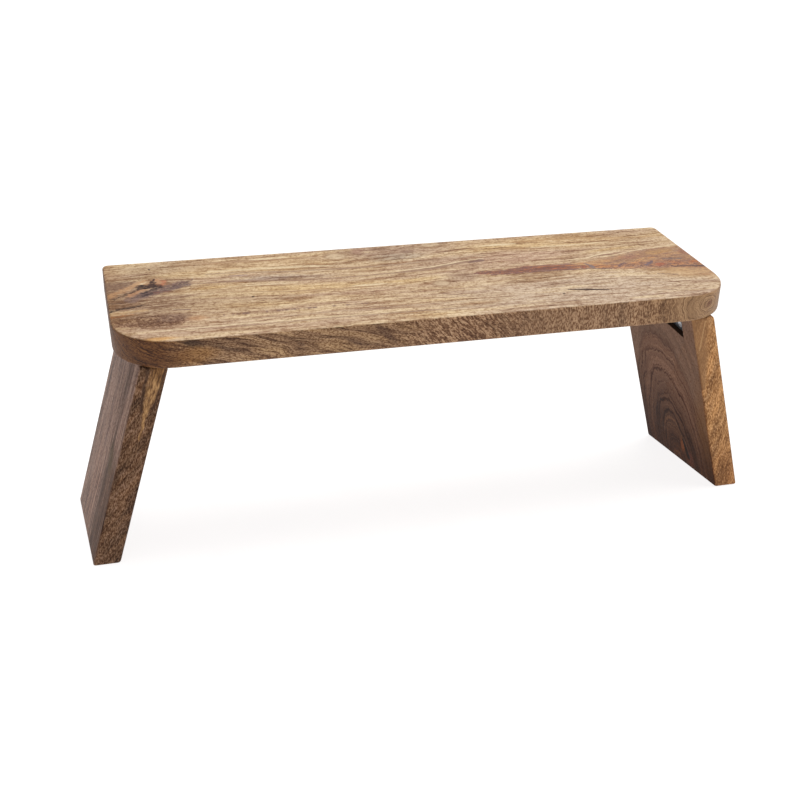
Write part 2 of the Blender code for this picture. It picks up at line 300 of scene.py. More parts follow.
    def curve(self, value, points):
        """A smooth curve through (value, result) points, whose values rise."""
        low, high = points[0][0], points[-1][0]
        least = min(y for _, y in points)
        most = max(y for _, y in points)
        reach = max(most - least, 1e-6)
        node = self.add('ShaderNodeFloatCurve', Value=(value - low) / (high - low))
        line = node.mapping.curves[0]
        while len(line.points) < len(points):
            line.points.new(0.5, 0.5)
        for spot, (x, y) in zip(line.points, points):
            spot.location = ((x - low) / (high - low), (y - least) / reach)
            spot.handle_type = 'AUTO'
        node.mapping.use_clip = False
        node.mapping.update()
        return Field(self, node.outputs[0]) * reach + least

    def board_point(self, placing, scale=(MM, MM, MM), shift=(0.0, 0.0, 0.0)):
        """Coordinates in a board's own frame, from its placing in the row frame."""
        back = placing.inverted()
        place = self.add('ShaderNodeTexCoord').outputs["Object"]
        node = self.add('ShaderNodeMapping', {"vector_type": 'POINT'}, Vector=place)
        node.inputs["Location"].default_value = back.translation
        node.inputs["Rotation"].default_value = back.to_euler()
        self.base = self.vector_math('MULTIPLY_ADD', node.outputs[0], scale, shift).outputs[0]
        self.board = self.add('ShaderNodeSeparateXYZ', Vector=self.base)
        return [Field(self, out) for out in self.board.outputs]

    def surface(self, colour, roughness, height, bump_depth, metallic=0.0, sheen=0.5):
        """Join the finished fields to the shader. Height is in units of bump_depth metres."""
        self.feed(self.shader.inputs["Base Color"], self.ready(colour))
        self.feed(self.shader.inputs["Roughness"], self.ready(roughness))
        self.shader.inputs["Metallic"].default_value = metallic
        self.shader.inputs["Specular IOR Level"].default_value = sheen
        bump = self.add('ShaderNodeBump', Height=height)
        bump.inputs["Strength"].default_value = 1.0
        bump.inputs["Distance"].default_value = bump_depth
        self.tree.links.new(bump.outputs[0], self.shader.inputs["Normal"])
        return self.material


def shade(red, green, blue):
    """A colour as it looks on a screen, 0 to 255, as linear light."""
    return tuple(((c / 255 + 0.055) / 1.055) ** 2.4 if c > 10 else c / 255 / 12.92
                 for c in (red, green, blue))


class Coat:
    """The colour of a face as it is built up, in tints as they show under one light."""

    def __init__(self, g, light):
        self.g = g
        self.light = light
        self.colour = None

    def seen(self, *tint):
        """The wood's own colour, for what shows as a tint under the light."""
        return tuple(c / part for c, part in zip(shade(*tint), self.light))

    def ground(self, value, *stops):
        """Start with tints along a value, each with its place first."""
        self.colour = self.g.ramp(value, [(place, self.seen(*tint)) for place, *tint in stops])
        return self

    def cover(self, amount, colour):
        """Put a finished colour over this one."""
        self.colour = self.g.mix(amount, self.colour, colour)

    def lay(self, amount, *tint):
        """Put a tint over the colour."""
        self.cover(amount, self.seen(*tint))

    def dim(self, amount, *tint):
        """Multiply the colour towards a tint."""
        self.colour = self.g.dim(self.colour, amount, shade(*tint))

    def darken(self, field, low, high, amount, *tint):
        """Dim the colour where a field lies past a level."""
        self.dim(self.g.step(field, low, high) * amount, *tint)

    def layer(self, field, dark, pale):
        """Darken where a field lies past one level, and lay a paler tint past another."""
        self.darken(field, *dark)
        low, high, amount, *tint = pale
        self.lay(self.g.step(field, low, high) * amount, *tint)

    def mark(self, amount, tint, shape, *form, **style):
        """Lay one mark."""
        self.lay(shape(self.g, *form, **style) * amount, *tint)

    def marks(self, shape, place, rows, shifts=(), within=None, **style):
        """Lay a table of marks. A row holds a mark's form, its tint and its amount."""
        shifts = iter(shifts)
        for *form, tint, amount in rows:
            mark = shape(self.g, *place, *form, shift=next(shifts, 0.0), **style)
            if within is not None:
                mark = mark * within
            self.lay(mark * amount, *tint)


def blotch(g, x, y, centre, size, turn=0, ragged=0, grit=5, edge=0.5, shift=0):
    """1 inside an ellipse that fades out over its edge, with a ragged outline."""
    place = g.pair(x, y)
    if turn:
        cos, sin = math.cos(turn), math.sin(turn)
        place = g.vector_math('SUBTRACT', place, (*centre, 0)).outputs[0]
        along = g.vector_math('DOT_PRODUCT', place, (cos / size[0], sin / size[0], 0))
        across = g.vector_math('DOT_PRODUCT', place, (-sin / size[1], cos / size[1], 0))
        place = g.add('ShaderNodeCombineXYZ', X=along.outputs["Value"],
                      Y=across.outputs["Value"]).outputs[0]
    else:
        place = g.vector_math('MULTIPLY_ADD', place, (1 / size[0], 1 / size[1], 0),
                              (-centre[0] / size[0], -centre[1] / size[1], 0)).outputs[0]
    far = Field(g, g.vector_math('LENGTH', place).outputs["Value"])
    far = g.roughen(far, x, y, grit, grit, ragged, shift)
    return g.step(far, 1 + edge, 1 - edge)


def smear(g, x, y, start, end, widths, ragged=0, grit=5, edge=0.5, shift=0):
    """1 along a straight mark between two points, with a half width at each."""
    run = (end[0] - start[0], end[1] - start[1], 0)
    reach = math.dist(start, end)
    place = g.vector_math('SUBTRACT', g.pair(x, y), (*start, 0)).outputs[0]
    along = g.vector_math('DOT_PRODUCT', place, tuple(part / reach ** 2 for part in run))
    along = g.add('ShaderNodeClamp', Value=along.outputs["Value"]).outputs[0]
    spine = g.add('ShaderNodeVectorMath', {"operation": 'SCALE'}, Vector=run, Scale=along)
    far = Field(g, g.vector_math('DISTANCE', place, spine.outputs[0]).outputs["Value"])
    far = far / (Field(g, along) * (widths[1] - widths[0]) + widths[0])
    far = g.roughen(far, x, y, grit, grit, ragged, shift)
    return g.step(far, 1 + edge, 1 - edge)


def stroke(g, x, y, points, widths, ragged=0, grit=6, shift=0):
    """1 along a bent line whose x rises, with a half width at each of its points."""
    fade = 5
    thin = 0.02
    widths = [thin, *widths, thin]
    points = [(points[0][0] - fade, points[0][1]), *points, (points[-1][0] + fade, points[-1][1])]
    middle = g.curve(x, points)
    half = g.curve(x, [(px, w) for (px, _), w in zip(points, widths)])
    far = abs(y - middle) / g.math('MAXIMUM', half, thin)
    far = g.roughen(far, x, y, grit, grit * 0.5, ragged, shift)
    return g.step(far, 1.4, 0.5)


def part_round(g, x, y, centre, size, strength):
    """How far the grain at y moves to part round an eye."""
    dx = (x - centre[0]) / size[0]
    dy = (y - centre[1]) / size[1]
    near = g.math('EXPONENT', -(dx * dx + dy * dy))
    return near * (y - centre[1]) * strength


def frayed(g, x, y, coarse, fine, shift):
    """Coordinates pushed about by noise, so that marks drawn in them come out torn."""
    moved = []
    for place, own in ((x, shift), (y, shift + 3)):
        wide = g.noise(x / 12, y / 8, 0, own) - 0.5
        tight = g.noise(x / 3.2, y / 2.8, 0, own + 1.5) - 0.5
        moved.append((wide * coarse + tight * fine + place).settled())
    return moved


def seat_flow(g, x, y, z):
    """Follows the top's grain: a sag left of the middle, and a parting round eyes and streak."""
    slow = g.noise(x / 130, y / 50, z / 50, 3, 1, 0.5)
    wavy = g.noise(x / 30, y / 11, z / 11, 9, 1, 0.5)
    dx = (x + 40) / 78
    dy = (y - 85) / 36
    sag = g.math('EXPONENT', -(dx * dx + dy * dy)) * 9
    flow = y + sag + (slow - 0.5) * 14 + (wavy - 0.5) * 3.5
    for centre, size, strength in (((-52, 133), (20, 12), 0.9), ((29, 144), (18, 10), 0.9),
                                   ((14, 62), (15, 9), 0.8), ((-198, 98), (34, 22), 0.6),
                                   ((232, 70), (95, 32), 0.62)):
        flow = flow - part_round(g, x, y, centre, size, strength)
    return flow


# Tables of marks: places and sizes in millimetres, the tint that shows, and how strongly it is laid.
# Centre, half size, colour and amount of the top's zones, laid along the bent grain
TOP_ZONES = (
    ((-88, 79), (52, 11), (226, 190, 138), 0.8),
    ((-120, 132), (60, 14), (218, 182, 136), 0.6),
    ((128, 131), (70, 14), (221, 184, 134), 0.7),
    ((-105, 102), (36, 5), (180, 155, 138), 0.8),
    ((96, 103), (42, 14), (200, 162, 136), 0.7),
    ((-14, 139), (44, 12), (180, 147, 124), 0.85),
    ((-3, 125), (20, 6), (180, 158, 137), 0.7),
    ((120, 30), (100, 30), (207, 181, 156), 0.8),
    ((-150, 60), (40, 22), (190, 157, 122), 0.6),
    ((-206, 74), (32, 40), (158, 124, 98), 0.85),
    ((195, 143), (24, 8), (188, 152, 126), 0.6),
    ((-45, 60), (26, 6), (192, 155, 124), 0.7),
    ((34, 75), (14, 8), (174, 142, 120), 0.7),
    ((-190, 134), (30, 12), (188, 158, 126), 0.6),
)


def seat_top_grain(coat, x, y, z, flow):
    """The top's ground: yellow and pinkish zones, bands along the grain and fine speckle."""
    g = coat.g
    coat.ground(g.noise(x / 85, flow / 12, z / 12, 20, 2, 0.5), (0.32, 192, 158, 130),
                (0.44, 206, 173, 139), (0.56, 213, 181, 142), (0.7, 214, 177, 126))
    coat.marks(blotch, (x, flow), TOP_ZONES, range(4, 60, 4), ragged=0.35, grit=22, edge=0.6)
    coat.layer(g.noise(x / 62, flow / 5.5, z / 6, 31, 2, 0.55), (0.5, 0.66, 0.9, 200, 178, 158),
               (0.47, 0.33, 0.55, 234, 205, 160))
    coat.layer(g.noise(x / 30, flow / 2.5, z / 3, 35, 3), (0.51, 0.66, 0.88, 180, 154, 132),
               (0.46, 0.33, 0.55, 238, 210, 170))
    streaks = g.noise(x / 7, flow / 1.9, z / 2, 44)
    coat.layer(streaks, (0.5, 0.66, 0.7, 198, 176, 157), (0.45, 0.32, 0.35, 238, 210, 174))
    speck = g.noise(x / 1.8, y / 2.5, z / 2, 52)
    coat.darken(speck, 0.48, 0.66, 0.6, 196, 176, 158)
    return -(g.step(speck, 0.45, 0.7) * 0.5 + g.step(streaks, 0.5, 0.66) * 0.4)


# Points, half widths, colour and amount of the top's dark lines
TOP_DARK_LINES = (
    ([(-165, 98), (-118, 95), (-83, 89), (-30, 89), (12, 92), (57, 102)],
     [0.8, 1.6, 1.2, 1.2, 2.2, 2.4], (156, 122, 98), 0.85),
    ([(-152, 115), (-83, 108), (-17, 106), (17, 109), (62, 112)], [1.2, 1.4, 1.5, 1.2, 0.8],
     (170, 138, 112), 0.75),
    ([(-190, 84), (-130, 75), (-83, 68), (-40, 67), (-22, 69)], [0.8, 1, 1.4, 1.2, 0.6],
     (184, 148, 112), 0.8),
    ([(-172, 139), (-125, 137), (-60, 135)], [0.8, 1.3, 0.6], (178, 140, 108), 0.8),
    ([(100, 137), (135, 136), (166, 132), (230, 127)], [0.8, 1.5, 1.2, 0.8], (188, 146, 102), 0.8),
    ([(-140, 15), (-60, 15), (60, 13), (150, 8)], [0.7, 0.9, 0.8, 0.5], (168, 138, 114), 0.7),
    ([(-150, 25), (-50, 26), (40, 25)], [0.6, 0.8, 0.5], (172, 142, 118), 0.6),
)

# Points, half widths and amount of the pale ones
TOP_PALE_LINES = (
    ([(-20, 93), (12, 95.5), (28, 99), (57, 105)], [0.5, 0.9, 0.9, 0.7], 0.8),
    ([(-150, 120), (-85, 117), (-60, 115)], [1.6, 2.2, 0.8], 0.6),
    ([(-140, 87), (-118, 86), (-95, 85)], [0.5, 0.9, 0.5], 0.7),
    ([(-50, 70), (-39, 70), (-30, 70)], [0.8, 1.6, 0.8], 0.9),
    ([(-116, 139), (-104, 139), (-92, 139)], [1, 1.8, 1], 0.8),
    ([(74, 133), (84, 133), (95, 133)], [1, 1.8, 1], 0.9),
    ([(108, 121), (140, 121), (172, 122)], [0.8, 1.2, 0.6], 0.7),
    ([(137, 89), (155, 95), (171, 99)], [0.6, 0.9, 0.6], 0.8),
    ([(160, 91), (180, 96), (195, 100), (231, 105)], [0.8, 1.1, 1, 0.5], 0.85),
    ([(-200, 17), (-150, 18), (-100, 18), (-30, 17)], [0.5, 0.9, 0.8, 0.4], 0.75),
)
PALE_LINE = (234, 208, 168)


def seat_top_lines(coat, x, y):
    """The long dark and pale lines of the top, and its row of dashes."""
    g = coat.g
    coat.marks(stroke, (x, y), TOP_DARK_LINES, (1, 3, 5, 6, 7, 8, 9), ragged=0.5, grit=11)
    pale = [(points, widths, PALE_LINE, amount) for points, widths, amount in TOP_PALE_LINES]
    coat.marks(stroke, (x, y), pale, range(11, 31, 2), ragged=0.45, grit=9)
    dash = stroke(g, x, y, [(-176, 35.5), (-120, 36), (-50, 36)], [1.3, 1.5, 0.8], 0.3, 8, 31)
    broken = g.step(g.noise(x / 7, 0.5, 0.5, 33), 0.46, 0.56)
    coat.lay(dash * broken * 0.85, 130, 98, 84)


# Start, end, half widths, colour and amount of the top's straight marks, the slit among them
TOP_MARKS = (
    ((49, 99.5), (59, 102), (1.6, 2.6), (130, 98, 86), 0.8),
    ((104, 30.8), (118, 28.2), (0.6, 1.6), (70, 46, 33), 1),
    ((118, 28.2), (134, 24.6), (1.6, 0.7), (70, 46, 33), 1),
    ((-186, 52), (-175, 50.6), (0.6, 0.8), (120, 92, 82), 0.8),
    ((-139, 108.3), (-126, 107.6), (0.6, 0.8), (140, 112, 112), 0.7),
    ((168, 19), (192, 11), (0.7, 0.7), (150, 120, 98), 0.7),
    ((10, 42), (25, 35), (0.7, 0.7), (160, 130, 108), 0.7),
    ((126, 112), (132, 109), (0.8, 0.5), (150, 118, 100), 0.6),
)
WORM_HOLES = tuple((spot, (1, 1.3), (66, 46, 34), 0.85)
                   for spot in ((-196.7, 133.3), (-128, 64.7), (97.8, 24)))
TOP_SPOTS = (
    ((-32, 141), (5, 5), (160, 116, 100), 0.6),
    ((6.7, 131.7), (5, 3), (138, 106, 86), 0.7),
    ((-200, 4.5), (12, 2.5), (214, 156, 84), 0.6),
)
TOP_EYES = (((-52, 133), (8.5, 6.5), 41), ((29, 144), (8.5, 5.5), 43), ((14.5, 62), (6.5, 5), 45))


def seat_top_marks(coat, x, y):
    """The slit, worm holes, eyes and spots of the top."""
    coat.marks(smear, (x, y), TOP_MARKS, range(1, 9), ragged=0.3, grit=4, edge=0.4)
    coat.marks(blotch, (x, y), WORM_HOLES, (37, 37, 37), ragged=0.2, grit=2, edge=0.3)
    for centre, size, shift in TOP_EYES:
        outer, inner = [blotch(coat.g, x, y, centre, [part * share for part in size], 0, 0.16, 6, edge,
                               shift) for share, edge in ((1.15, 0.12), (0.85, 0.2))]
        coat.lay((outer - inner) * 0.5, 158, 124, 94)
        coat.lay(inner * 0.5, 222, 194, 158)
    coat.marks(blotch, (x, y), TOP_SPOTS, range(47, 53, 2), ragged=0.4, edge=0.6)


# The red streak's outline, its paler halo's, and each one's half widths
STREAK_LINE = [(50, 76), (68, 75), (90, 77), (120, 75), (137, 72), (155, 69), (180, 67), (205, 66),
               (231, 62)]
STREAK_WIDTHS = [3, 4.5, 5.6, 4.6, 2.6, 4.6, 7.5, 9, 10]
HALO_LINE = [(100, 76), (130, 75), (160, 77), (190, 79), (210, 74), (231, 68)]
HALO_WIDTHS = [3, 6, 12, 18, 25, 31]

# Centre, half size, turn, colour and amount of the orange spots in it
STREAK_SPOTS = (
    ((134, 72), (3.4, 2), 1.2, (176, 98, 66), 0.6),
    ((150, 71), (8, 3), -0.35, (200, 136, 82), 0.65),
    ((111, 73), (4.5, 1.6), 0, (176, 108, 78), 0.6),
    ((178, 86), (10, 3), 0.1, (170, 118, 92), 0.6),
    ((196, 65), (5, 2.6), 0.5, (184, 104, 70), 0.75),
    ((211, 67), (5, 2.6), -0.3, (190, 122, 74), 0.65),
    ((226, 65.5), (5, 2.8), 0.3, (186, 112, 64), 0.75),
    ((208, 92), (13, 4), 0.25, (190, 144, 92), 0.7),
    ((229, 88), (5, 7), 0, (158, 106, 84), 0.6),
    ((168, 63), (9, 2.4), 0, (186, 134, 98), 0.5),
)

# Start, end, half widths and colour of the dark outlines
STREAK_OUTLINES = (
    ((204, 60.5), (232, 56), (1, 1.8), (98, 72, 66)),
    ((203, 75), (218, 74), (0.9, 1.4), (118, 100, 94)),
    ((185, 66), (192, 73), (1.8, 1.4), (114, 94, 98)),
    ((138, 78), (141, 70), (1.4, 1.6), (128, 110, 106)),
    ((162, 68), (168, 74), (1.2, 1.2), (116, 88, 88)),
    ((57, 71), (90, 71), (0.8, 1.1), (126, 84, 78)),
    ((90, 71), (128, 69), (1.1, 1.4), (112, 72, 70)),
    ((187, 47), (199, 44), (0.8, 1.2), (120, 92, 76)),
    ((128, 69), (152, 65), (0.8, 1), (108, 76, 72)),
    ((90, 81), (126, 80), (0.6, 0.9), (140, 100, 88)),
)
OUTLINE_AMOUNT = 0.85


def seat_top_streak(coat, x, y):
    """The red streak that widens to the right end, marbled with orange and dark outlines."""
    g = coat.g
    halo = stroke(g, x, y, HALO_LINE, HALO_WIDTHS, 0.35, 11, 1)
    mottle = g.noise(x / 12, y / 4.2, 0, 3, 4, 0.7)
    soft = Coat(g, TOP_LIGHT).ground(mottle, (0.36, 134, 98, 84), (0.47, 172, 126, 92),
                                     (0.57, 202, 154, 106), (0.67, 184, 118, 74))
    coat.cover(halo * 0.85, soft.colour)
    wx, wy = frayed(g, x, y, 7, 3.4, 5)
    coat.mark(0.6, (206, 164, 116), blotch, wx, wy, (214, 49), (27, 10), edge=0.6)
    core = stroke(g, wx, wy, STREAK_LINE, STREAK_WIDTHS)
    fire = g.noise(x / 8, y / 3, 0, 9, 3, 0.65)
    red = Coat(g, TOP_LIGHT).ground(fire, (0.36, 128, 92, 82), (0.46, 158, 108, 84),
                                    (0.54, 182, 122, 84), (0.64, 206, 138, 86))
    strength = g.step(x, 30, 100) * 0.35 + 0.45 - g.step(x, 140, 175) * 0.25
    coat.cover(core * strength, red.colour)
    coat.dim(core * g.step(x, 136, 110) * 0.85, 222, 198, 194)
    coat.marks(blotch, (wx, wy), STREAK_SPOTS)
    inside = g.math('MAXIMUM', core, halo * g.step(x, 140, 175) * 0.6)
    for field, level, amount in ((fire, 0.5, 0.85), (mottle, 0.53, 0.75)):
        vein = g.step(abs(field - level), 0.034, 0.008)
        coat.lay(vein * inside * amount, 112, 80, 76)
    coat.marks(smear, (wx, wy), [(*row, OUTLINE_AMOUNT) for row in STREAK_OUTLINES])


# Start, end, half widths, colour and amount of the flame's marks
FLAME_MARKS = (
    ((-232, 103), (-213, 106), (11, 6), (128, 98, 82), 0.7),
    ((-230, 84), (-202, 111), (3.4, 2.4), (200, 154, 112), 0.8),
    ((-214, 84), (-192, 110), (3, 4), (192, 140, 102), 0.75),
    ((-191, 100), (-188, 107), (3.2, 1.8), (188, 116, 82), 0.75),
    ((-225, 79), (-205, 97), (0.6, 2), (84, 60, 50), 0.95),
    ((-206, 99), (-192, 99), (3.8, 2.8), (58, 42, 38), 1.05),
    ((-198, 100), (-194.5, 112), (3.2, 0.8), (70, 48, 42), 1),
    ((-214, 76), (-174, 101), (5, 5.4), (132, 104, 94), 0.9),
    ((-208, 81), (-192, 87), (2, 2.4), (92, 72, 70), 0.8),
    ((-205, 86), (-190, 96), (1.6, 2), (56, 42, 42), 0.95),
    ((-188, 90), (-172, 97), (2.6, 2.4), (104, 80, 76), 0.75),
    ((-183, 98), (-166, 107), (2.4, 1.4), (116, 86, 76), 0.75),
    ((-214, 79), (-196, 85), (0.7, 0.9), (70, 52, 48), 0.9),
    ((-186, 93), (-170, 103), (0.7, 0.6), (72, 54, 50), 0.85),
    ((-196, 85), (-184, 88), (1.2, 0.7), (132, 88, 72), 0.8),
    ((-234, 55), (-219, 61.5), (1.2, 1.7), (74, 54, 44), 0.95),
    ((-219, 61.5), (-204, 65), (1.7, 0.7), (78, 56, 46), 0.95),
    ((-232, 71), (-214, 74), (1.6, 1), (112, 84, 66), 0.6),
    ((-232, 50), (-205, 55), (2, 2), (196, 154, 110), 0.6),
    ((-232, 47), (-212, 48.5), (0.9, 0.6), (184, 124, 78), 0.6),
)


def seat_top_flame(coat, x, y):
    """The flame at the left end, the dark streak below it and the brown patch near the front."""
    g = coat.g
    wx, wy = frayed(g, x, y, 7, 5.2, 61)
    torn = g.step(g.noise(x / 2.4, y / 1.8, 0, 67), 0.38, 0.54) * 0.5 + 0.5
    coat.marks(smear, (wx, wy), FLAME_MARKS, within=torn)
    patch = blotch(g, x, y, (-204, 35), (29, 11), -0.06, 0.4, 9, 0.3, 29)
    dots = g.step(g.noise(x / 1.5, y / 2, 0, 69), 0.56, 0.44)
    coat.dim(patch * 0.9, 212, 198, 194)
    coat.dim(patch * dots * 0.9, 178, 156, 148)
    core = blotch(g, wx, wy, (-188, 38), (11, 6), 0.2)
    coat.lay(core * torn * 0.35, 118, 92, 84)
    coat.mark(0.5, (210, 158, 112), blotch, x, y, (-172, 34), (6, 4), 0, 0.4, 5, 0.7, 33)
    coat.darken(x, -208, -232, 0.5, 206, 182, 158)


def seat_top(g, x, y, z):
    """Colour and height of the seat's top face: x along the seat, y from its front edge."""
    coat = Coat(g, TOP_LIGHT)
    height = seat_top_grain(coat, x, y, z, seat_flow(g, x, y, z))
    for paint in (seat_top_lines, seat_top_streak, seat_top_flame, seat_top_marks):
        paint(coat, x, y)
    coat.darken(g.noise(x / 4, y / 1.7, z / 2, 77), 0.5, 0.64, 0.45, 196, 176, 158)
    return coat.colour, height


# Centre, half size, turn, colour and amount of the dark marks on the seat's front edge
EDGE_MARKS = (
    ((-179, 3.5), (7.5, 2.6), 0.25, (64, 46, 34), 0.85),
    ((-160, 8), (16, 1.3), 0.3, (92, 68, 50), 0.7),
    ((-178, 12), (14, 6), 0, (150, 108, 58), 0.6),
    ((-105, 11), (3.5, 1.2), 0.3, (84, 60, 46), 0.6),
    ((-67, 13), (6, 1.6), 0.4, (84, 60, 46), 0.6),
    ((-44, 9), (15, 2.2), 0.8, (92, 66, 50), 0.6),
    ((148, 1.5), (4.5, 1.1), 0.1, (80, 58, 50), 0.8),
    ((176, 1.5), (5, 1.1), 0.1, (88, 66, 52), 0.7),
    ((155, 13), (11, 1), 0.42, (92, 68, 52), 0.7),
)
EDGE_MARK_SHIFTS = (21, 22, 23, 27, 29, 31, 33, 35, 37)
# Slant of the hatch on the seat's front edge
HATCH_LEAN = math.radians(48)


def seat_edge(g, x, y, z):
    """Colour and height of the seat's narrow faces: long lines that turn into a hatch and rings."""
    coat = Coat(g, FRONT_LIGHT)
    down = (SEAT_THICKNESS_MM - z).settled()
    warp = (g.noise(x / 26, y / 34, z / 9, 2, 2, 0.55) - 0.5) * 9
    level = down + warp - x * 0.26
    coat.ground(g.noise(x / 50, y / 40, level / 5, 4, 2, 0.5), (0.34, 122, 93, 68),
                (0.5, 146, 115, 86), (0.66, 162, 130, 94))
    lines = g.noise(x / 20, y / 17, level / 0.95, 5)
    coat.layer(lines, (0.48, 0.6, 0.9, 150, 128, 112), (0.44, 0.33, 0.6, 188, 156, 118))
    cos, sin = math.cos(HATCH_LEAN), math.sin(HATCH_LEAN)
    along = x * cos + down * sin + warp * 0.5
    across = down * cos - x * sin + warp * 0.35
    hatched = Coat(g, FRONT_LIGHT)
    hatched.ground(g.noise(along / 40, y / 34, across / 8, 12), (0.34, 134, 103, 76),
                   (0.5, 154, 120, 91), (0.66, 170, 137, 106))
    hatch = g.noise(along / 4.2, y / 4.5, across / 1.05, 8, 1, 0.5)
    hatched.layer(hatch, (0.46, 0.58, 0.9, 158, 136, 118), (0.44, 0.32, 0.5, 184, 152, 120))
    turn = g.step(x + warp * 7, -75, 5)
    coat.cover(turn, hatched.colour)
    coat.marks(blotch, (x, down), EDGE_MARKS, EDGE_MARK_SHIFTS, ragged=0.4)
    fine = g.noise(x / 1.6, y / 1.5, z / 0.9, 14)
    coat.darken(fine, 0.46, 0.6, 1, 180, 162, 146)
    height = -(g.step(hatch, 0.48, 0.64) * turn * 0.7 + g.step(lines, 0.5, 0.68) * 0.5 + fine * 0.3)
    seat_knot(coat, x, y, z)
    return coat.colour, height


def seat_knot(coat, x, y, z):
    """Rings that widen round the knot on the right front corner, crossed by short upright fibres."""
    g = coat.g
    dx = (x - 208) * 0.8
    dy = y - 4
    dz = (z - 12) * 1.1
    far = g.math('SQRT', dx * dx + dy * dy + dz * dz)
    far = far + (g.noise(x / 8, y / 8, z / 8, 41, 2, 0.55) - 0.5) * 8
    ringed = Coat(g, FRONT_LIGHT)
    ringed.ground(g.noise(far / 9, 0.5, 0.5, 42), (0.36, 126, 97, 72), (0.5, 150, 118, 89),
                  (0.64, 170, 137, 106))
    fibre = g.noise(x / 0.95, y / 2, z / 2.6, 46)
    ringed.layer(fibre, (0.44, 0.58, 1, 162, 140, 120), (0.42, 0.32, 0.4, 186, 154, 120))
    coat.cover(g.step(x, 20, 95) * 0.9, ringed.colour)
    closer = Coat(g, FRONT_LIGHT)
    closer.ground(g.noise(far / 1.3, 0.5, 0.5, 43), (0.38, 102, 76, 54), (0.5, 144, 114, 86),
                  (0.62, 180, 148, 114))
    coat.cover(g.step(far, 34, 16) * 0.85, closer.colour)
    coat.darken(far, 60, 30, 1, 245, 240, 229)
    pith = blotch(g, x, z, (208, 12), (3.4, 2), 0.5, 0.35, 3, 0.5, 45)
    coat.lay(pith * g.step(y, 30, 12) * 0.9, 104, 68, 46)


def end_grain(g, along, across, low, shift):
    """Ring arcs and pore dots of a sawn end."""
    coat = Coat(g, FRONT_LIGHT)
    far = g.math('SQRT', along * along + across * across)
    far = far + (g.noise(along / 20, across / 20, 0, shift, 2, 0.5) - 0.5) * 6
    coat.ground(g.noise(far / 2.4, 0.5, 0.5, shift + 2), (0.34, *[c * 0.74 for c in low]),
                (0.5, *low), (0.66, *[min(c * 1.16, 255) for c in low]))
    dots = g.noise(along / 0.9, across / 0.9, 0, shift + 4, 1, 0.5)
    coat.darken(dots, 0.56, 0.66, 0.9, 150, 128, 110)
    return coat.colour, -(g.step(dots, 0.56, 0.66) * 0.8)


def plain_face(g, x, y, z, light, dark, shift):
    """Colour and height of a quiet long-grain face."""
    coat = Coat(g, FRONT_LIGHT)
    flow = y + (g.noise(x / 70, y / 22, z / 22, shift, 2, 0.5) - 0.5) * 14
    coat.ground(g.noise(x / 90, flow / 12, z / 12, shift + 3, 2, 0.5), (0.34, *dark), (0.66, *light))
    coat.darken(g.noise(x / 80, flow / 3.4, z / 3.4, shift + 7, 3), 0.48, 0.7, 0.8, 190, 168, 150)
    coat.darken(g.noise(x / 40, flow / 1.25, z / 1.25, shift + 9), 0.54, 0.72, 0.75, 178, 156, 140)
    speck = g.noise(x / 2.4, y / 1.5, z / 1.5, shift + 13, 2, 0.65)
    coat.darken(speck, 0.48, 0.66, 0.9, 190, 170, 152)
    dashes = g.noise(x / 3.6, flow / 0.8, z / 0.8, shift + 17, 1, 0.5)
    coat.darken(dashes, 0.58, 0.68, 0.8, 164, 140, 122)
    return coat.colour, -(g.step(speck, 0.45, 0.7) * 0.5 + g.step(dashes, 0.58, 0.68) * 0.8)


def join_faces(g, first, second, amount):
    """Two faces' colours and heights as one."""
    colour = g.mix(amount, first[0], second[0])
    height = first[1] * (1 - amount) + second[1] * amount
    return colour, height


def seat_wood(placing):
    """The seat board: a pale top, darker edges and a plain underside."""
    g = Graph("seat_board_wood")
    x, y, z = g.board_point(placing)
    edge = seat_edge(g, x, y, z)
    ends = end_grain(g, y - 88, z + 70, (142, 112, 86), 60)
    far = abs(x)
    corner = g.step(far, 214, 227) * g.step(y, 46, 38)
    straight = g.step(far, 228.5, 230.4)
    edge = join_faces(g, edge, ends, g.math('MAXIMUM', corner, straight))
    edge = (g.dim(edge[0], g.step(x, -168, -204), shade(178, 148, 112)), edge[1])
    top = seat_top(g, x, y, z)
    below = plain_face(g, x, y, z, (160, 130, 98), (126, 98, 72), 70)
    face = join_faces(g, edge, top, g.step(z, SEAT_THICKNESS_MM - 1.1, SEAT_THICKNESS_MM - 0.3))
    colour, height = join_faces(g, face, below, g.step(z, *EDGE_TO_FACE))
    roughness = g.noise(x / 9, y / 3, z / 3, 90, 2, 0.5) * 0.18 + 0.46
    return g.surface(colour, roughness, height, WOOD_RELIEF, sheen=SEAT_SHEEN)


def leg_edge(g, down, y, z, light, dark, lean, contrast, shift):
    """A leg's narrow faces: short curly fibres, with the grain running out at a slant."""
    coat = Coat(g, FRONT_LIGHT)
    warp = (g.noise(down / 18, y / 22, z / 9, shift, 2, 0.5) - 0.5) * 7
    along = down * math.cos(lean) - z * math.sin(lean)
    across = z * math.cos(lean) + down * math.sin(lean) + warp
    pale = [min(c * gain, 255) for c, gain in zip(light, PALE_GAIN)]
    coat.ground(g.noise(along / 40, y / 34, across / 6, shift + 3), (0.33, *dark), (0.67, *light))
    lines = g.noise(along / 8, y / 16, across / 1.2, shift + 4)
    coat.layer(lines, (0.5, 0.62, 0.8 * contrast, 170, 146, 124), (0.45, 0.34, 0.5 * contrast, *pale))
    curl = g.noise(down / 2.4, y / 1.4, z / 0.85, shift + 5)
    coat.layer(curl, (0.47, 0.57, contrast, 156, 130, 110), (0.44, 0.34, 0.5 * contrast, *pale))
    return coat, -(g.step(curl, 0.45, 0.66) * 0.7)


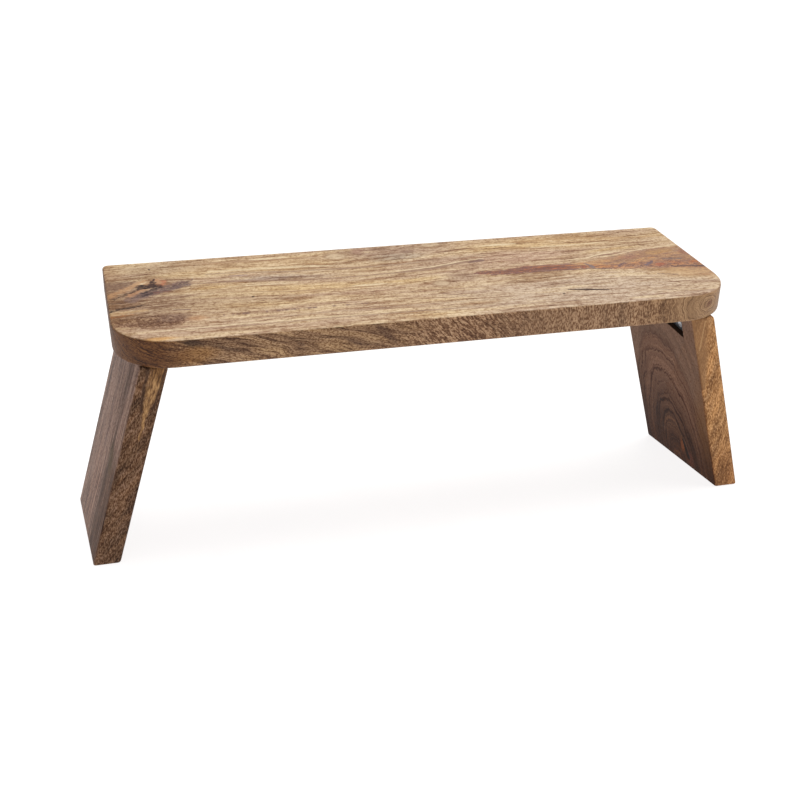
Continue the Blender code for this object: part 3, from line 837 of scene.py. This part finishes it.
def right_inner_face(g, down, y, z):
    """Dark, with nested arches that open towards the foot, a painted greyish sheen over its upper
    part, and a split knot low down.
    """
    coat = Coat(g, INNER_LIGHT)
    wavy = (g.noise(down / 30, y / 14, z / 16, 101, 3, 0.55) - 0.5) * 24
    dx = (y - ARCH_MIDDLE) / 0.56
    dy = down - 172
    ring = g.math('SQRT', dx * dx + dy * dy) + wavy
    coat.ground(g.noise(ring / 26, 0.5, z / 9, 103, 2, 0.5), (0.34, 80, 57, 45), (0.66, 114, 88, 74))
    coat.layer(g.noise(ring / 6.5, down / 90, z / 9, 104, 3), (0.5, 0.64, 1, 166, 142, 126),
               (0.46, 0.34, 0.75, 142, 112, 92))
    coat.layer(g.noise(ring / 1.7, down / 50, z / 9, 107), (0.5, 0.68, 0.85, 184, 164, 150),
               (0.42, 0.3, 0.3, 138, 112, 92))
    # Painted sheen: a paler greyish tint laid over the face away from the arches' centre, mostly its
    # upper part
    coat.lay(g.step(ring, 118, 136) * 0.6, 112, 92, 80)
    coat.mark(0.6, (108, 78, 48), blotch, down, y, (105, ARCH_MIDDLE - 62), (40, 11), 0.1, 0.3, 12,
              0.6, 108)
    coat.darken(down, 60, 175, 1, 150, 124, 100)
    knot_y = ARCH_MIDDLE - 19
    coat.mark(0.65, (116, 68, 38), blotch, down, y, (148, knot_y + 6), (7, 3.4), 0.2, 0.4, 6, 0.5, 109)
    coat.mark(0.5, (92, 54, 44), blotch, down, y, (155, knot_y - 6), (8, 6), 0, 0.4, 6, 0.6, 113)
    split = smear(g, down, y, (141, knot_y + 3), (154, knot_y - 2.5), (2, 3.4), 0.3, 4, 0.3, 111)
    coat.lay(split * 0.95, 30, 21, 17)
    speck = g.noise(down / 2.2, y / 1.5, z / 1.2, 115, 2, 0.65)
    coat.darken(speck, 0.48, 0.66, 0.85, 190, 172, 158)
    return coat.colour, -(g.step(speck, 0.45, 0.7) * 0.5 + split * 2)


# Start, end, half widths, colour and amount of the dark streaks low on the left leg's outer face,
# counted from the rear of its dark strip
OUTER_STREAKS = (
    ((96, 8), (166, 13), (1.2, 3), (106, 82, 70), 0.6),
    ((82, 19), (150, 22), (2, 1.4), (112, 88, 76), 0.5),
    ((112, 33), (168, 35), (1.4, 3.4), (108, 84, 72), 0.6),
    ((90, 48), (160, 51), (2.4, 1.6), (114, 90, 78), 0.5),
    ((104, 61), (166, 64), (1.2, 2.6), (110, 86, 74), 0.55),
)


def left_outer_face(g, down, y, z):
    """Brown greyed by painted sheen, with uneven upright bands, and a darker strip low near the front.
    """
    coat = Coat(g, OUTER_LIGHT)
    wavy = (g.noise(down / 60, y / 20, z / 20, 161, 2, 0.5) - 0.5) * 12
    flow = y + wavy
    # The greyish tints carry a painted sheen of the grazing light over the brown wood
    coat.ground(g.noise(down / 90, flow / 9, z / 6, 164, 3), (0.36, 100, 78, 66),
                (0.5, 138, 115, 103), (0.64, 160, 136, 124))
    coat.dim(g.step(flow, STRIP_REAR, STRIP_REAR - 4) * g.step(down, 70, 96), 168, 148, 124)
    coat.mark(0.7, (88, 74, 46), blotch, down, y, (89, STRIP_REAR - 16), (10, 12), 0.3, 0.35, 9, 0.5,
              166)
    coat.mark(0.45, (166, 134, 116), blotch, down, y, (140, STRIP_REAR + 34), (36, 24), 0, 0.35, 18,
              0.6, 168)
    rows = [((x0, STRIP_REAR + y0), (x1, STRIP_REAR + y1), *rest)
            for (x0, y0), (x1, y1), *rest in OUTER_STREAKS]
    coat.marks(smear, (down, flow), rows, [171] * len(rows), ragged=0.35, grit=8)
    coat.mark(0.6, (104, 76, 66), blotch, down, y, (78, STRIP_REAR + 26), (34, 3.4), 0.05, 0.4, 9, 0.6,
              165)
    coat.layer(g.noise(down / 30, flow / 3, z / 2, 169), (0.5, 0.63, 1, 180, 158, 142),
               (0.44, 0.34, 0.4, 162, 142, 131))
    speck = g.noise(down / 2.4, y / 3, z / 1.2, 167, 2, 0.65)
    coat.darken(speck, 0.47, 0.6, 0.9, 192, 176, 162)
    return coat.colour, -(g.step(speck, 0.45, 0.7) * 0.5)


# The golden flame on the left leg's front edge: its line, half widths and dark sides
FLAME_LINE = [(-6, 12.5), (8, 12.5), (22, 11.5), (36, 10.5), (52, 11)]
FLAME_WIDTHS = [5.5, 4.6, 3.4, 1.8, 0.8]
FLAME_SIDES = (
    ((0, 5.6), (34, 7), (1.3, 0.8), (58, 40, 30), 0.75),
    ((0, 17.2), (30, 15), (0.9, 0.7), (58, 40, 30), 0.75),
)
# Slant of the fibres on the legs' front edges
LEFT_EDGE_LEAN = math.radians(-24)
RIGHT_EDGE_LEAN = math.radians(27)


def left_front_edge(g, down, y, z):
    """Dark and speckled, with a golden flame near the top. Out is counted from the outer face."""
    out = (LEG_THICKNESS_MM - z).settled()
    coat, height = leg_edge(g, down, y, z, (128, 97, 72), (82, 60, 43), LEFT_EDGE_LEAN, 0.85, 170)
    wide_down, wide_out = frayed(g, down, out, 5, 2.2, 172)
    flame = stroke(g, wide_down, wide_out, FLAME_LINE, FLAME_WIDTHS)
    golden = Coat(g, FRONT_LIGHT)
    golden.ground(g.noise(down / 5, out / 1.1, 0.5, 177), (0.38, 96, 68, 43), (0.5, 144, 108, 71),
                  (0.64, 184, 144, 98))
    golden.darken(down, 14, 2, 0.8, 190, 176, 160)
    coat.cover(flame * 0.85, golden.colour)
    coat.marks(smear, (wide_down, wide_out), FLAME_SIDES)
    coat.darken(out, 16.5, 18.8, 0.5, 170, 140, 120)
    return coat.colour, height


def right_front_edge(g, down, y, z):
    """Golden brown with steep slanting lines, browner at the top inner corner and at the foot."""
    coat, height = leg_edge(g, down, y, z, (198, 149, 98), (142, 103, 66), RIGHT_EDGE_LEAN, 0.62, 140)
    coat.mark(0.75, (134, 99, 68), smear, down, z, (0, 4), (60, 2), (10, 2), 0.35, 9, 0.5, 143)
    coat.mark(0.4, (190, 152, 108), smear, down, z, (3, 11), (26, 3), (0.5, 0.6), 0.3, 6, 0.5, 145)
    coat.darken(down, 104, 148, 1, 222, 212, 206)
    coat.dim(g.step(z, 2, 0.3) * g.step(down, 20, 45) * 0.75, 150, 116, 92)
    return coat.colour, height


def plain_leg_edge(g, down, y, z, *look):
    """Colour and height of a leg's edge that has no marks."""
    coat, height = leg_edge(g, down, y, z, *look)
    return coat.colour, height


def leg_wood(name, placing, side):
    """A leg board: down the grain, y across from front to rear, z from its inner face outwards."""
    g = Graph(name)
    z, y, down = g.board_point(placing, (side * MM, MM, -MM), (KNUCKLE_MM, 0, 0))
    front = g.step(y, 0, -40)
    if side > 0:
        inner = right_inner_face(g, down, y, z)
        outer = plain_face(g, down, y, z, (156, 124, 96), (118, 90, 68), 130)
        rear = plain_leg_edge(g, down, y, z, (150, 114, 80), (112, 82, 58), math.radians(6), 0.7, 134)
        edge = join_faces(g, rear, right_front_edge(g, down, y, z), front)
    else:
        inner = plain_face(g, down, y, z, (120, 93, 72), (90, 67, 52), 150)
        outer = left_outer_face(g, down, y, z)
        rear = plain_leg_edge(g, down, y, z, (132, 100, 74), (96, 71, 52), math.radians(-5), 0.7, 154)
        edge = join_faces(g, rear, left_front_edge(g, down, y, z), front)
    face = join_faces(g, edge, inner, g.step(z, *EDGE_TO_FACE))
    far_side = [LEG_THICKNESS_MM - inset for inset in EDGE_TO_FACE]
    face = join_faces(g, face, outer, g.step(z, *far_side))
    row_place = g.add('ShaderNodeTexCoord').outputs["Object"]
    height_up = Field(g, g.add('ShaderNodeSeparateXYZ', Vector=row_place).outputs["Z"]) * MM
    foot = end_grain(g, y - 20, z + 50, (112, 84, 62), 200)
    colour, height = join_faces(g, face, foot, g.step(height_up, 0.8, 0.2))
    # Painted shade: the wood inside the hinge pockets is darkened almost to black, standing in for the
    # shade in these recesses under the seat
    inside = g.step(z, POCKET_DEEP + 0.4, POCKET_DEEP) * g.step(z, 0.3, 0.6)
    inside = inside * g.step(abs(abs(y) - POCKET_MIDDLE), POCKET_HALF + 0.4, POCKET_HALF)
    inside = inside * g.step(down, POCKET_LEDGE + 0.4, POCKET_LEDGE)
    colour = g.mix(inside * 0.9, colour, Coat(g, FRONT_LIGHT).seen(34, 24, 20))
    roughness = g.noise(down / 9, y / 3, z / 3, 190, 2, 0.5) * 0.18 + 0.5
    roughness = roughness + g.step(z, *EDGE_TO_FACE) * (0.2 if side > 0 else 0)
    return g.surface(colour, roughness, height, WOOD_RELIEF, sheen=LEG_SHEEN)


def steel(name, base, rough, shift):
    """Plated steel with fine rolling lines and a little tarnish."""
    g = Graph(name)
    x, y, z = g.board_point(Matrix.Identity(4))
    lines = g.noise(x / 0.35, y / 9, z / 0.35, shift)
    stain = g.noise(x / 5, y / 5, z / 5, shift + 5, 3.0)
    colour = g.mix(g.step(stain, 0.45, 0.75) * 0.6, base, tuple(c * 0.55 for c in base))
    roughness = stain * 0.2 + lines * 0.12 + (rough - 0.14)
    return g.surface(colour, roughness, lines, STEEL_RELIEF, 1.0)


def cut_recess(shape, inward, turn):
    """Cut a cross recess into the flat head of a screw whose tip points inward."""
    head = max(shape.faces, key=lambda f: -f.normal.dot(inward) * f.calc_area())
    middle = head.calc_center_median()
    side = inward.orthogonal().normalized()
    side.rotate(Matrix.Rotation(turn, 3, inward))
    other = inward.cross(side)

    def outline(arm, half, deep):
        corners = ((arm, -half), (arm, half), (half, half))
        spots = []
        for quarter in range(4):
            for u, v in corners:
                for _ in range(quarter):
                    u, v = -v, u
                spots.append(shape.verts.new(middle + side * u + other * v + inward * deep))
        return spots

    def in_cross(face):
        spot = face.calc_center_median() - middle
        reach = sorted((abs(spot.dot(side)), abs(spot.dot(other))))
        return reach[0] < RECESS_HALF and reach[1] < RECESS_ARM

    mouth = outline(RECESS_ARM, RECESS_HALF, 0.0)
    bottom = outline(RECESS_ARM_LOW, RECESS_HALF_LOW, RECESS_DEEP)
    count = len(mouth)
    rim = list(head.edges)
    cross = [shape.edges.new((mouth[i], mouth[(i + 1) % count])) for i in range(count)]
    shape.faces.remove(head)
    bmesh.ops.triangle_fill(shape, edges=rim + cross, use_beauty=True)
    for face in [f for f in shape.faces if all(v in mouth for v in f.verts) and in_cross(f)]:
        shape.faces.remove(face)
    for i in range(count):
        j = (i + 1) % count
        shape.faces.new((mouth[i], mouth[j], bottom[j], bottom[i]))
    shape.faces.new(bottom)


def clean_mesh(node, name, inward=None, turn=0.0):
    """A copy of a CAD node's mesh with its points joined and its flat faces whole."""
    mesh = node.data.copy()
    mesh.name = name
    shape = bmesh.new()
    shape.from_mesh(mesh)
    bmesh.ops.remove_doubles(shape, verts=shape.verts, dist=SAME_POINT)
    bmesh.ops.dissolve_limit(shape, angle_limit=FLAT_ANGLE, verts=shape.verts, edges=shape.edges)
    if inward is not None:
        shape.normal_update()
        cut_recess(shape, inward, turn)
    bmesh.ops.recalc_face_normals(shape, faces=shape.faces)
    shape.to_mesh(mesh)
    shape.free()
    for kind in ("custom_normal", "sharp_face", "sharp_edge"):
        if kind in mesh.attributes:
            mesh.attributes.remove(mesh.attributes[kind])
    mesh.shade_smooth()
    mesh.set_sharp_from_angle(angle=SHARP_ANGLE)
    return mesh


def dress(node_name, body, material, inward=None, turn=0.0):
    """Show a CAD node as a smooth-shaded piece with a finished material."""
    node = frame["nodes"][node_name]
    name = node_name + "_dressed"
    piece = bpy.data.objects.new(name, clean_mesh(node, name, inward, turn))
    bpy.context.scene.collection.objects.link(piece)
    piece.data.materials.clear()
    piece.data.materials.append(material)
    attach(piece, body)
    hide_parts(node_name)
    return piece


def joint_named(name):
    """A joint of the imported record."""
    return next(joint for joint in frame["joints"] if joint["name"] == name)


def local_range(node_name, turn):
    """Lowest and highest corner of a CAD node in a turned frame."""
    back = turn.inverted()
    points = [back @ v.co for v in frame["nodes"][node_name].data.vertices]
    low = Vector([min(p[i] for p in points) for i in range(3)])
    high = Vector([max(p[i] for p in points) for i in range(3)])
    return low, high


def add_camera():
    """The photograph's camera."""
    forward = Vector((-math.sin(CAMERA_YAW) * math.cos(CAMERA_PITCH),
                      math.cos(CAMERA_YAW) * math.cos(CAMERA_PITCH), -math.sin(CAMERA_PITCH)))
    right = Vector((math.cos(CAMERA_YAW), math.sin(CAMERA_YAW), 0.0))
    up = right.cross(forward)
    rolled_right = right * math.cos(CAMERA_ROLL) + up * math.sin(CAMERA_ROLL)
    rolled_up = up * math.cos(CAMERA_ROLL) - right * math.sin(CAMERA_ROLL)
    data = bpy.data.cameras.new("camera")
    data.sensor_width = SENSOR_MM
    data.lens = CAMERA_FOCAL_PIXELS * SENSOR_MM / PHOTO_SIZE
    camera = bpy.data.objects.new("camera", data)
    turn = Matrix((rolled_right, rolled_up, -forward)).transposed().to_4x4()
    camera.matrix_world = Matrix.Translation(CAMERA_PLACE) @ turn
    bpy.context.scene.collection.objects.link(camera)
    bpy.context.scene.camera = camera


def add_sun(name, toward, strength, size_degrees, colour):
    """Soft directional light that travels along a direction."""
    data = bpy.data.lights.new(name, 'SUN')
    data.energy = strength
    data.angle = math.radians(size_degrees)
    data.color = colour
    light = bpy.data.objects.new(name, data)
    light.rotation_euler = Vector(toward).to_track_quat('-Z', 'Y').to_euler()
    bpy.context.scene.collection.objects.link(light)


def floor_mesh():
    """A wide round floor whose rim curves up past the horizon."""
    turns = [2 * math.pi * i / FLOOR_SIDES for i in range(FLOOR_SIDES)]
    shape = bmesh.new()
    loops = [[shape.verts.new((r * math.cos(t), r * math.sin(t), z)) for t in turns]
             for r, z in FLOOR_RINGS]
    shape.faces.new(loops[0])
    for low, high in zip(loops, loops[1:]):
        for i in range(len(turns)):
            j = (i + 1) % len(turns)
            shape.faces.new((low[i], low[j], high[j], high[i]))
    mesh = bpy.data.meshes.new("floor")
    bmesh.ops.recalc_face_normals(shape, faces=shape.faces)
    shape.to_mesh(mesh)
    shape.free()
    return mesh


def add_studio():
    """Pale floor, soft light from above and a dim pale room."""
    floor = bpy.data.objects.new("floor", floor_mesh())
    bpy.context.scene.collection.objects.link(floor)
    g = Graph("floor_paint")
    x, y, z = g.board_point(Matrix.Identity(4))
    grain = g.noise(x / 40, y / 40, z, 1.0, 2.0, 0.5)
    paint = g.ramp(grain, [(0.3, (0.19, 0.19, 0.19)), (0.7, (0.21, 0.21, 0.21))])
    g.feed(g.shader.inputs["Base Color"], g.ready(paint))
    g.shader.inputs["Roughness"].default_value = 0.9
    g.shader.inputs["Specular IOR Level"].default_value = 0.0
    g.shader.inputs["Emission Color"].default_value = (1.0, 0.985, 0.985, 1.0)
    g.shader.inputs["Emission Strength"].default_value = FLOOR_GLOW
    floor.data.materials.append(g.material)
    world = bpy.data.worlds.new("room")
    bpy.context.scene.world = world
    world.use_nodes = True
    glow = world.node_tree.nodes["Background"].inputs
    glow["Color"].default_value = (1.0, 1.0, 1.0, 1.0)
    glow["Strength"].default_value = ROOM_GLOW
    add_sun("overhead", SUN_WAY, SUN_ENERGY, SUN_SIZE_DEGREES, (1.0, 0.99, 0.97))
    bpy.context.scene.view_settings.view_transform = 'Standard'


right_fold = joint_named("right_leg_fold")
SEAT_TILT = math.atan2(right_fold["axis"][2], right_fold["axis"][1])
LEG_SPLAY = math.radians(right_fold["range_deg"][1] - 90)
SEAT_TURN = Matrix.Rotation(SEAT_TILT, 4, 'X')
seat_low, seat_high = local_range("seat_board", SEAT_TURN)
SEAT_THICKNESS_MM = (seat_high.z - seat_low.z) * MM
SEAT_ORIGIN = SEAT_TURN @ Vector((0.0, seat_low.y, seat_low.z))
seat_placing = Matrix.Translation(SEAT_ORIGIN) @ SEAT_TURN

leg_placings = {}
for side_name, side in SIDES.items():
    fold = joint_named(side_name + "_leg_fold")
    turn = SEAT_TURN @ Matrix.Rotation(-side * LEG_SPLAY, 4, 'Y')
    leg_placings[side_name] = Matrix.Translation(Vector(fold["pos_m"])) @ turn
leg_low, leg_high = local_range("right_leg_board", leg_placings["right"])
KNUCKLE_MM = -leg_low.x * MM
LEG_THICKNESS_MM = (leg_high.x - leg_low.x) * MM

# The leg's middle is y = 0 in its own frame, so marks found from the seat's front edge are moved by it
seat_across = SEAT_TURN.to_3x3() @ Vector((0, 1, 0))
LEG_MIDDLE_MM = (leg_placings["right"].translation - SEAT_ORIGIN).dot(seat_across) * MM
ARCH_MIDDLE = 73.5 - LEG_MIDDLE_MM
STRIP_REAR = 52.0 - LEG_MIDDLE_MM

add_camera()
add_studio()
dress("seat_board", "seat", seat_wood(seat_placing))
# Painted shade: the leaves' steel gets a far darker base than the pins' and screws', for the shade the
# leaves sit in under the seat and in the pockets
leaf_steel_painted_shade = steel("leaf_plating", (0.105, 0.115, 0.13), 0.42, 3.0)
pin_steel = steel("pin_plating", (0.50, 0.50, 0.52), 0.30, 23.0)
screw_steel = steel("screw_plating", (0.60, 0.60, 0.62), 0.28, 43.0)
into_seat = SEAT_TURN.to_3x3() @ Vector((0, 0, 1))
screw_turn = 0.3
for side_name, side in SIDES.items():
    leg_body = side_name + "_leg"
    material = leg_wood(side_name + "_leg_wood", leg_placings[side_name], side)
    dress(side_name + "_leg_board", leg_body, material)
    into_leg = leg_placings[side_name].to_3x3() @ Vector((side, 0, 0))
    for end in ENDS:
        prefix = "%s_%s_" % (side_name, end)
        dress(prefix + "hinge_seat_leaf", "seat", leaf_steel_painted_shade)
        dress(prefix + "hinge_leg_leaf", leg_body, leaf_steel_painted_shade)
        dress(prefix + "hinge_pin", "seat", pin_steel)
        for screw in ENDS:
            screw_turn += SCREW_TURN_STEP
            dress(prefix + "seat_screw_" + screw, "seat", screw_steel, into_seat,
                  screw_turn)
            dress(prefix + "leg_screw_" + screw, leg_body, screw_steel, into_leg,
                  screw_turn + LEG_SCREW_TURN)
